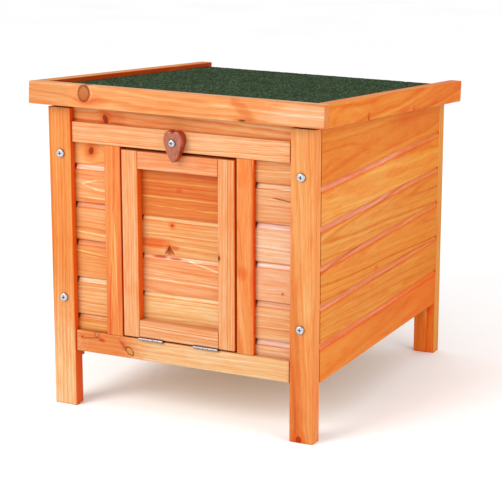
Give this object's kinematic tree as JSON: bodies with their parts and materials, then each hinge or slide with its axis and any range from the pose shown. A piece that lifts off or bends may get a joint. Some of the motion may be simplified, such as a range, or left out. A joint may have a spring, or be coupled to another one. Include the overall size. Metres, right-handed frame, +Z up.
{
  "type": "rabbit hutch",
  "caption": "Small wooden rabbit hutch on four legs, with lapped plank walls, a drop-down front door, a turn latch and a hinged sloping lid covered in green felt.",
  "frame": {"origin": "centre of the bounding box's base, on the ground between the four legs", "axes": "+Z up; the door and latch face -Y; +X is to the right seen from the front"},
  "size_m": [0.42, 0.4849, 0.4409],
  "materials": {
    "frame_pine": "satin honey-coloured glaze",
    "plank_pine": "satin honey-coloured glaze",
    "plywood": "plain, unglazed",
    "felt": "rough green mineral surface",
    "zinc": "bright zinc plate",
    "latch_plastic": "satin red-brown"
  },
  "bodies": {
    "hutch": {"back_leg_left": "frame_pine", "back_leg_right": "frame_pine", "back_plank_1": "plank_pine", "back_plank_2": "plank_pine", "back_plank_3": "plank_pine", "back_plank_4": "plank_pine", "back_plank_5": "plank_pine", "back_plank_6": "plank_pine", "back_top_rail": "frame_pine", "corner_batten_back_left": "frame_pine", "corner_batten_back_right": "frame_pine", "corner_batten_front_left": "frame_pine", "corner_batten_front_right": "frame_pine", "door_hinge_frame_leaves": "zinc", "door_stop": "frame_pine", "floor_bearer_left": "frame_pine", "floor_bearer_right": "frame_pine", "floor_panel": "plywood", "frame_hinge_screws": "zinc", "front_batten_left": "frame_pine", "front_batten_right": "frame_pine", "front_bottom_rail": "frame_pine", "front_header_rail": "frame_pine", "front_leg_left": "frame_pine", "front_leg_right": "frame_pine", "front_planks_left": "plank_pine", "front_planks_right": "plank_pine", "front_top_board": "plank_pine", "hinge_pins": "zinc", "latch_screw": "zinc", "leg_screws": "zinc", "lid_hinge_body_leaves": "zinc", "side_left_plank_1": "plank_pine", "side_left_plank_2": "plank_pine", "side_left_plank_3": "plank_pine", "side_left_plank_4": "plank_pine", "side_left_plank_5": "plank_pine", "side_left_plank_6": "plank_pine", "side_right_plank_1": "plank_pine", "side_right_plank_2": "plank_pine", "side_right_plank_3": "plank_pine", "side_right_plank_4": "plank_pine", "side_right_plank_5": "plank_pine", "side_right_plank_6": "plank_pine"},
    "door": {"door_bottom_rail": "frame_pine", "door_hinge_leaves": "zinc", "door_hinge_screws": "zinc", "door_planks": "plank_pine", "door_stile_left": "frame_pine", "door_stile_right": "frame_pine", "door_top_rail": "frame_pine"},
    "latch": {"latch": "latch_plastic"},
    "lid": {"lid_felt": "felt", "lid_front_board": "frame_pine", "lid_hinge_leaves": "zinc", "lid_hinge_screws": "zinc", "lid_left_board": "frame_pine", "lid_panel": "plywood", "lid_right_board": "frame_pine"}
  },
  "joints": [
    {"name": "door_drop", "type": "hinge", "parent": "hutch", "child": "door", "pos_m": [0, -0.2241, 0.107], "axis": [1, 0, 0], "range_deg": [0, 114.5]},
    {"name": "latch_turn", "type": "hinge", "parent": "hutch", "child": "latch", "pos_m": [-0.0025, -0.2286, 0.375], "axis": [0, 1, 0], "range_deg": [-90, 90]},
    {"name": "lid_lift", "type": "hinge", "parent": "hutch", "child": "lid", "pos_m": [0, 0.2244, 0.38519], "axis": [-1, 0, 0], "range_deg": [0, 105]}
  ]
}
